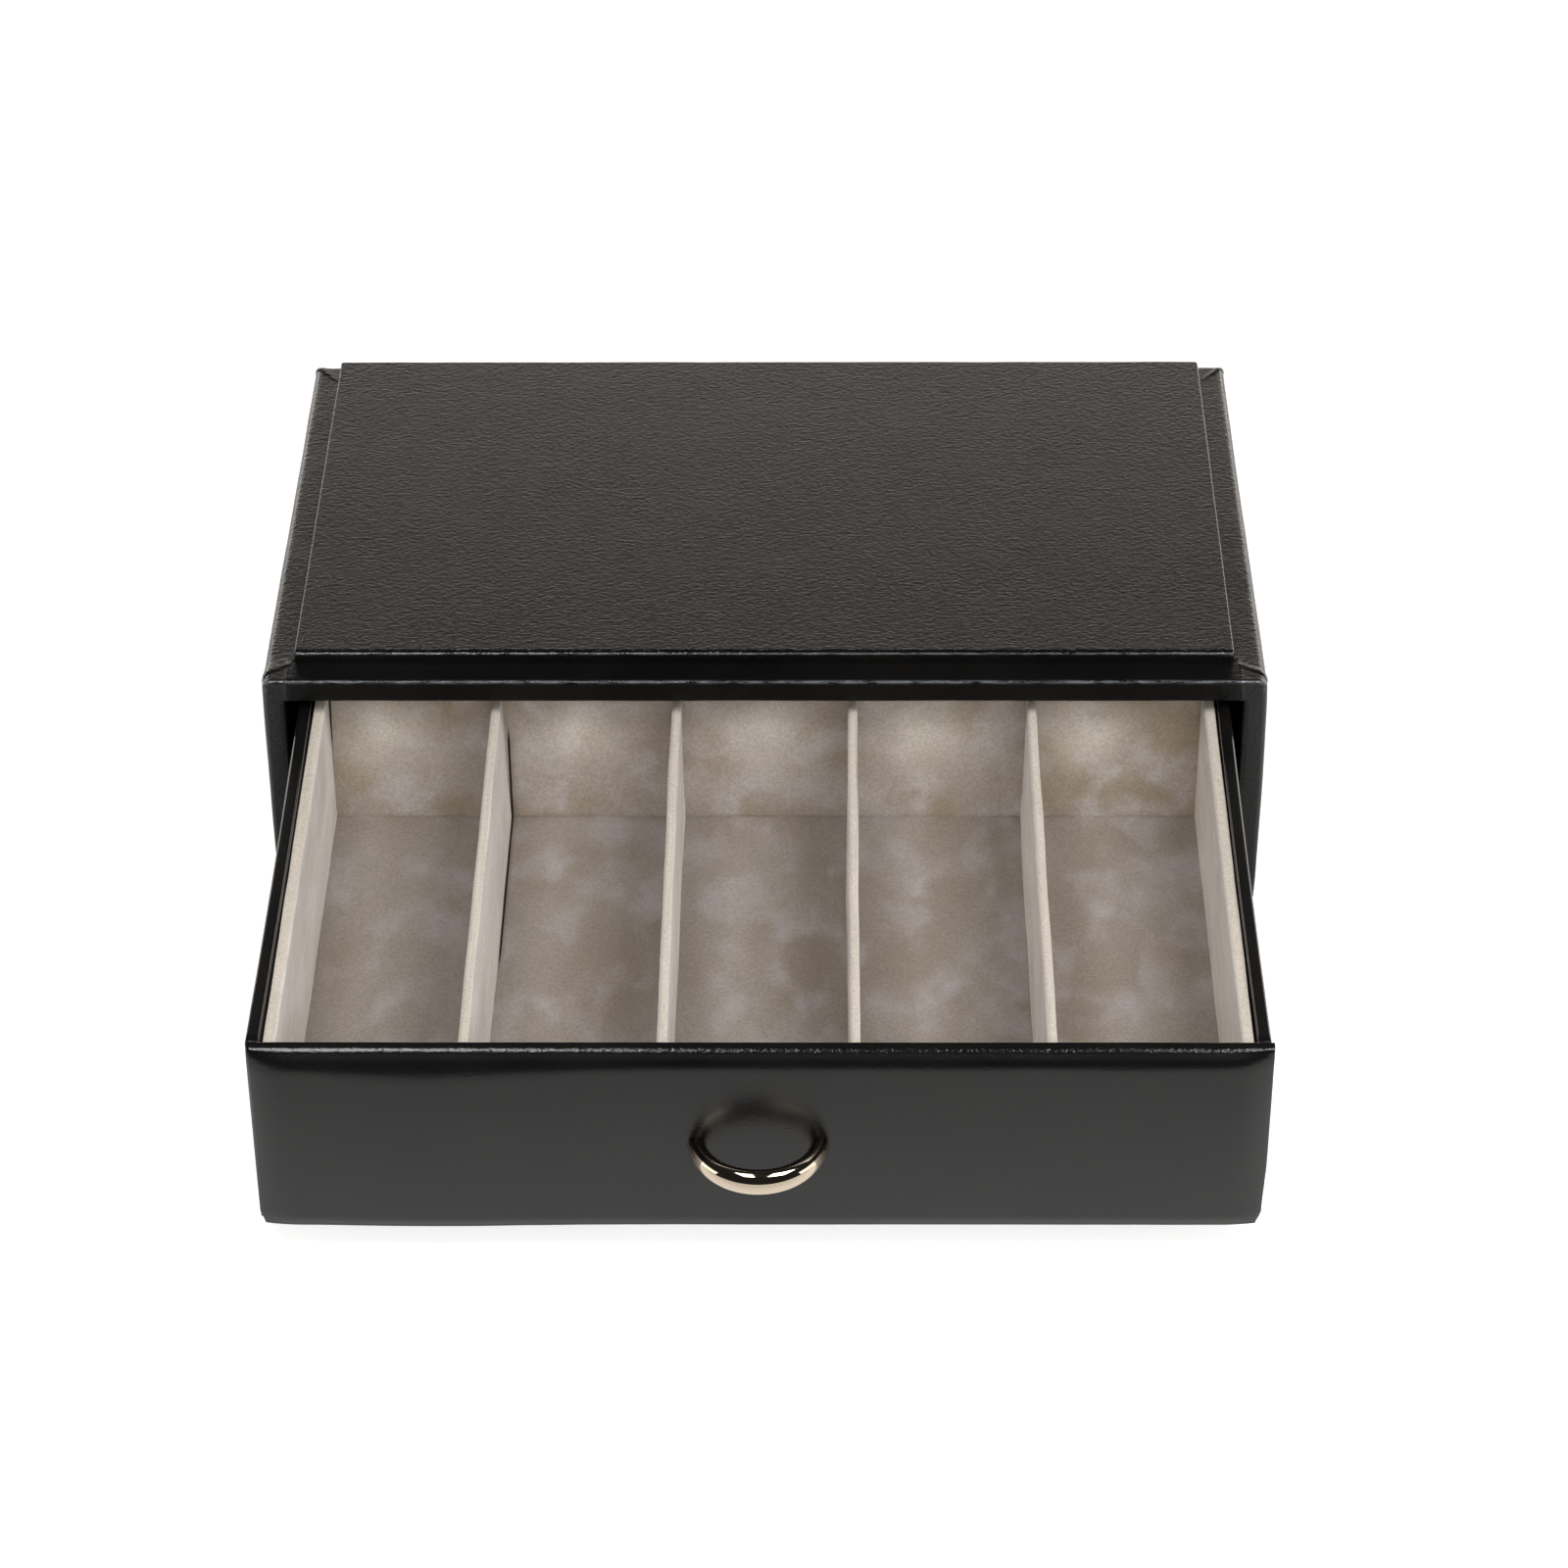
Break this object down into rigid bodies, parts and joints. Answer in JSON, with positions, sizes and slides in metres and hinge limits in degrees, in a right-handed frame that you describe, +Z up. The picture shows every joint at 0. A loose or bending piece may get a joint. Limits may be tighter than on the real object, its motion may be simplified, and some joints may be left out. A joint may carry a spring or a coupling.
{
  "type": "eyeglasses storage box",
  "caption": "Leather-covered storage box for eyeglasses with a padded-front drawer, a polished bow handle and a divided suede insert, shown pulled out.",
  "frame": {"origin": "on the floor under the middle of the casing's front edge, which is the middle of the bounding box's base with the drawer pulled out as at rest", "axes": "+Z up, +Y to the back of the box, +X to the right as one looks at the front"},
  "size_m": [0.345, 0.42, 0.1026],
  "materials": {
    "board": "raw grey-brown fibreboard, seen nowhere on the finished box",
    "cover_leather": "black leather with a fine matt grain",
    "front_leather": "smooth black leather, semi-gloss, stretched over foam",
    "black_lining": "black lining cloth",
    "foam": "pale foam, hidden",
    "suede": "taupe velour suede with a cloudy nap",
    "nickel": "polished nickel plate",
    "zinc_steel": "zinc-plated steel, hidden"
  },
  "bodies": {
    "casing": {"back_cover": "cover_leather", "back_rim_cover": "cover_leather", "base_edge_cover": "cover_leather", "base_front_rail": "board", "base_lining": "black_lining", "casing_back_board": "board", "casing_base_board": "board", "casing_left_board": "board", "casing_right_board": "board", "casing_top_board": "board", "ceiling_lining": "black_lining", "front_edge_cover": "cover_leather", "front_rim_cover": "cover_leather", "left_cover": "cover_leather", "left_rim_cover": "cover_leather", "mouth_back_lining": "black_lining", "mouth_left_lining": "black_lining", "mouth_right_lining": "black_lining", "panel_infill": "board", "right_cover": "cover_leather", "right_rim_cover": "cover_leather", "run_lining": "black_lining", "top_panel_board": "board", "top_panel_cover": "cover_leather"},
    "drawer": {"divider_1": "suede", "divider_2": "suede", "divider_3": "suede", "divider_4": "suede", "drawer_back_board": "board", "drawer_back_cover": "cover_leather", "drawer_base_cover": "cover_leather", "drawer_bottom_board": "board", "drawer_front_board": "board", "drawer_front_cover": "front_leather", "drawer_front_pad": "foam", "drawer_left_board": "board", "drawer_left_cover": "cover_leather", "drawer_right_board": "board", "drawer_right_cover": "cover_leather", "floor_pad": "foam", "handle_screws": "zinc_steel", "handle_washers": "zinc_steel", "insert_back_lining": "suede", "insert_floor": "suede", "insert_front_lining": "suede", "insert_left_lining": "suede", "insert_right_lining": "suede", "pull_handle": "nickel"}
  },
  "joints": [
    {"name": "drawer_slide", "type": "slide", "parent": "casing", "child": "drawer", "axis": [0, -1, 0], "range_m": [-0.1845, 0.01]}
  ]
}
